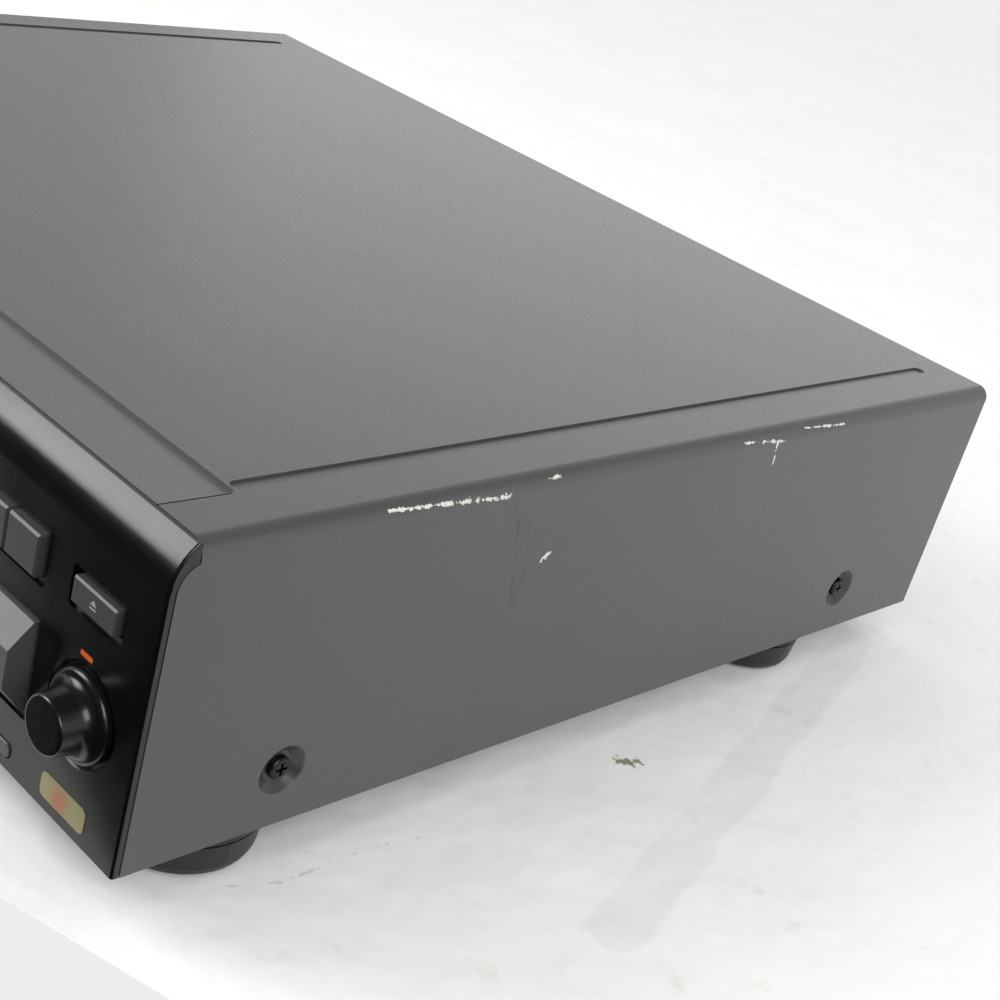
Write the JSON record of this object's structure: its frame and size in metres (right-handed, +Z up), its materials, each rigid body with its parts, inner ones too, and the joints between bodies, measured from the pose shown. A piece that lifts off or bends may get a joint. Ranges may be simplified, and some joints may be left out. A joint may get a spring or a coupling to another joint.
{
  "type": "multi disc cd changer",
  "caption": "Front-loading compact disc changer: folded steel case, gloss front with keys and jog knob, and a sliding drawer with a carousel of disc wells over a lifting optical unit.",
  "frame": {"origin": "on the floor under the middle of the bounding box", "axes": "+X to the player's right as seen from the front, +Y from the front to the rear panel, +Z up"},
  "size_m": [0.43, 0.385, 0.106],
  "materials": {
    "cover_paint": "satin black textured paint",
    "screw_zinc": "zinc plated",
    "zinc_steel": "zinc plated sheet",
    "rear_paint": "satin black paint",
    "foot_plastic": "moulded, lightly grained",
    "pad_rubber": "matt",
    "bezel_gloss": "high gloss moulding",
    "window_tint": "smoked acrylic",
    "tube_glass": "clear",
    "board_tan": "paper laminate",
    "board_green": "glass fibre laminate",
    "black_matte": "moulded",
    "shaft_steel": "ground",
    "knob_black": "satin moulding",
    "component_grey": "sleeves and resin",
    "core_steel": "varnished laminations",
    "socket_plastic": "moulded block with plated jacks",
    "mechanism_plastic": "glass filled moulding",
    "motor_steel": "plated can",
    "gear_plastic": "acetal",
    "belt_rubber": "moulded",
    "tray_plastic": "fine grained moulding",
    "pickup_metal": "die cast",
    "lens_glass": "coated",
    "wedge_key": "satin moulding",
    "small_key": "satin moulding"
  },
  "bodies": {
    "player": {"board_parts": "component_grey", "chassis_base": "zinc_steel", "clamp_bridge": "zinc_steel", "cord_bushing": "black_matte", "cover_screws": "screw_zinc", "display_tube": "tube_glass", "display_window": "window_tint", "feet": "foot_plastic", "foot_pads": "pad_rubber", "front_bezel": "bezel_gloss", "front_board": "board_tan", "front_controls": "black_matte", "key_switches": "black_matte", "loading_belt": "belt_rubber", "loading_motor": "motor_steel", "main_board": "board_green", "mechanism_deck": "mechanism_plastic", "power_transformer": "core_steel", "rear_panel": "rear_paint", "rear_sockets": "socket_plastic", "top_cover": "cover_paint"},
    "drawer": {"disc_drawer": "tray_plastic", "drawer_front": "bezel_gloss", "table_axle": "shaft_steel", "table_motor": "motor_steel", "table_belt": "belt_rubber"},
    "carousel": {"carousel_table": "tray_plastic", "disc_dividers": "tray_plastic"},
    "table_gear": {"table_drive_gear": "gear_plastic"},
    "table_pulley": {"table_motor_pulley": "gear_plastic"},
    "load_gear": {"loading_drive_gear": "gear_plastic"},
    "load_idler": {"loading_pulley_gear": "gear_plastic"},
    "load_pulley": {"loading_motor_pulley": "gear_plastic"},
    "optical_unit": {"optical_deck": "mechanism_plastic", "guide_rods": "shaft_steel", "unit_motors": "motor_steel"},
    "platter": {"disc_platter": "black_matte"},
    "sled": {"pickup_sled": "pickup_metal", "objective_lens": "lens_glass"},
    "sled_wheel": {"sled_gear": "gear_plastic"},
    "sled_drive": {"sled_pinion": "gear_plastic"},
    "puck": {"clamp_puck": "black_matte"},
    "jog": {"jog_knob": "knob_black", "jog_shaft": "shaft_steel"},
    "level": {"level_knob": "knob_black"},
    "exchange_key_body": {"exchange_key": "small_key"},
    "disc_skip_key_body": {"disc_skip_key": "small_key"},
    "open_close_key_body": {"open_close_key": "small_key"},
    "play_key_body": {"play_key": "wedge_key"},
    "pause_key_body": {"pause_key": "wedge_key"},
    "stop_key_body": {"stop_key": "wedge_key"},
    "disc_key_1_body": {"disc_key_1": "small_key"},
    "disc_key_2_body": {"disc_key_2": "small_key"},
    "disc_key_3_body": {"disc_key_3": "small_key"},
    "disc_key_4_body": {"disc_key_4": "small_key"},
    "disc_key_5_body": {"disc_key_5": "small_key"},
    "program_key_body": {"program_key": "small_key"},
    "repeat_key_body": {"repeat_key": "small_key"},
    "time_key_body": {"time_key": "small_key"},
    "power_button_body": {"power_button": "small_key"}
  },
  "joints": [
    {"name": "drawer_slide", "type": "slide", "parent": "player", "child": "drawer", "axis": [0, -1, 0], "range_m": [0, 0.205]},
    {"name": "carousel", "type": "hinge", "parent": "drawer", "child": "carousel", "pos_m": [-0.038, -0.01005, 0.0735], "axis": [0, 0, 1], "continuous": true},
    {"name": "table_drive_gear", "type": "hinge", "parent": "drawer", "child": "table_gear", "pos_m": [-0.16528, -0.13733, 0.0735], "axis": [0, 0, 1], "continuous": true},
    {"name": "table_motor_pulley", "type": "hinge", "parent": "drawer", "child": "table_pulley", "pos_m": [-0.189, -0.16255, 0.0735], "axis": [0, 0, 1], "continuous": true},
    {"name": "loading_drive_gear", "type": "hinge", "parent": "player", "child": "load_gear", "pos_m": [0.094, -0.12755, 0.0577], "axis": [0, 0, 1], "continuous": true},
    {"name": "loading_pulley_gear", "type": "hinge", "parent": "player", "child": "load_idler", "pos_m": [0.05641, -0.14123, 0.0577], "axis": [0, 0, 1], "continuous": true},
    {"name": "loading_motor_pulley", "type": "hinge", "parent": "player", "child": "load_pulley", "pos_m": [0.01941, -0.14123, 0.054], "axis": [0, 0, 1], "continuous": true},
    {"name": "optical_lift", "type": "hinge", "parent": "player", "child": "optical_unit", "pos_m": [-0.038, -0.02565, 0.0635], "axis": [1, 0, 0], "range_deg": [0, 6.4]},
    {"name": "disc_platter", "type": "hinge", "parent": "optical_unit", "child": "platter", "pos_m": [-0.038, 0.09201, 0.05382], "axis": [0, 0.1115, 0.9938], "continuous": true},
    {"name": "pickup_sled", "type": "slide", "parent": "optical_unit", "child": "sled", "axis": [0, -0.9938, 0.1115], "range_m": [0, 0.035]},
    {"name": "sled_gear", "type": "hinge", "parent": "optical_unit", "child": "sled_wheel", "pos_m": [-0.005, 0.0407, 0.0629], "axis": [0, 0.1115, 0.9938], "continuous": true},
    {"name": "sled_pinion", "type": "hinge", "parent": "optical_unit", "child": "sled_drive", "pos_m": [-0.005, 0.0248, 0.06468], "axis": [0, 0.1115, 0.9938], "continuous": true},
    {"name": "clamp_puck", "type": "hinge", "parent": "player", "child": "puck", "pos_m": [-0.038, 0.09235, 0.0875], "axis": [0, 0, 1], "continuous": true},
    {"name": "jog_turn", "type": "hinge", "parent": "player", "child": "jog", "pos_m": [0.1922, -0.18185, 0.0473], "axis": [0, -1, 0], "continuous": true},
    {"name": "level_turn", "type": "hinge", "parent": "player", "child": "level", "pos_m": [-0.168, -0.18185, 0.027], "axis": [0, -1, 0], "range_deg": [-140, 140]},
    {"name": "exchange_key_press", "type": "slide", "parent": "player", "child": "exchange_key_body", "axis": [0, 1, 0], "range_m": [0, 0.0015], "stiffness_N_per_m": 400},
    {"name": "disc_skip_key_press", "type": "slide", "parent": "player", "child": "disc_skip_key_body", "axis": [0, 1, 0], "range_m": [0, 0.0015], "stiffness_N_per_m": 400},
    {"name": "open_close_key_press", "type": "slide", "parent": "player", "child": "open_close_key_body", "axis": [0, 1, 0], "range_m": [0, 0.0015], "stiffness_N_per_m": 400},
    {"name": "play_key_press", "type": "slide", "parent": "player", "child": "play_key_body", "axis": [0, 1, 0], "range_m": [0, 0.0015], "stiffness_N_per_m": 400},
    {"name": "pause_key_press", "type": "slide", "parent": "player", "child": "pause_key_body", "axis": [0, 1, 0], "range_m": [0, 0.0015], "stiffness_N_per_m": 400},
    {"name": "stop_key_press", "type": "slide", "parent": "player", "child": "stop_key_body", "axis": [0, 1, 0], "range_m": [0, 0.0015], "stiffness_N_per_m": 400},
    {"name": "disc_key_1_press", "type": "slide", "parent": "player", "child": "disc_key_1_body", "axis": [0, 1, 0], "range_m": [0, 0.0015], "stiffness_N_per_m": 400},
    {"name": "disc_key_2_press", "type": "slide", "parent": "player", "child": "disc_key_2_body", "axis": [0, 1, 0], "range_m": [0, 0.0015], "stiffness_N_per_m": 400},
    {"name": "disc_key_3_press", "type": "slide", "parent": "player", "child": "disc_key_3_body", "axis": [0, 1, 0], "range_m": [0, 0.0015], "stiffness_N_per_m": 400},
    {"name": "disc_key_4_press", "type": "slide", "parent": "player", "child": "disc_key_4_body", "axis": [0, 1, 0], "range_m": [0, 0.0015], "stiffness_N_per_m": 400},
    {"name": "disc_key_5_press", "type": "slide", "parent": "player", "child": "disc_key_5_body", "axis": [0, 1, 0], "range_m": [0, 0.0015], "stiffness_N_per_m": 400},
    {"name": "program_key_press", "type": "slide", "parent": "player", "child": "program_key_body", "axis": [0, 1, 0], "range_m": [0, 0.0015], "stiffness_N_per_m": 400},
    {"name": "repeat_key_press", "type": "slide", "parent": "player", "child": "repeat_key_body", "axis": [0, 1, 0], "range_m": [0, 0.0015], "stiffness_N_per_m": 400},
    {"name": "time_key_press", "type": "slide", "parent": "player", "child": "time_key_body", "axis": [0, 1, 0], "range_m": [0, 0.0015], "stiffness_N_per_m": 400},
    {"name": "power_button_press", "type": "slide", "parent": "player", "child": "power_button_body", "axis": [0, 1, 0], "range_m": [0, 0.0015], "stiffness_N_per_m": 400}
  ],
  "couplings": [
    {"joint": "loading_drive_gear", "follows": "drawer_slide", "rad_per_m": -55.556},
    {"joint": "loading_pulley_gear", "follows": "drawer_slide", "rad_per_m": 166.67},
    {"joint": "loading_motor_pulley", "follows": "drawer_slide", "rad_per_m": 578.43},
    {"joint": "table_drive_gear", "follows": "carousel", "ratio": -8},
    {"joint": "table_motor_pulley", "follows": "carousel", "ratio": -26.441},
    {"joint": "sled_gear", "follows": "pickup_sled", "rad_per_m": 100},
    {"joint": "sled_pinion", "follows": "pickup_sled", "rad_per_m": -166.67}
  ]
}
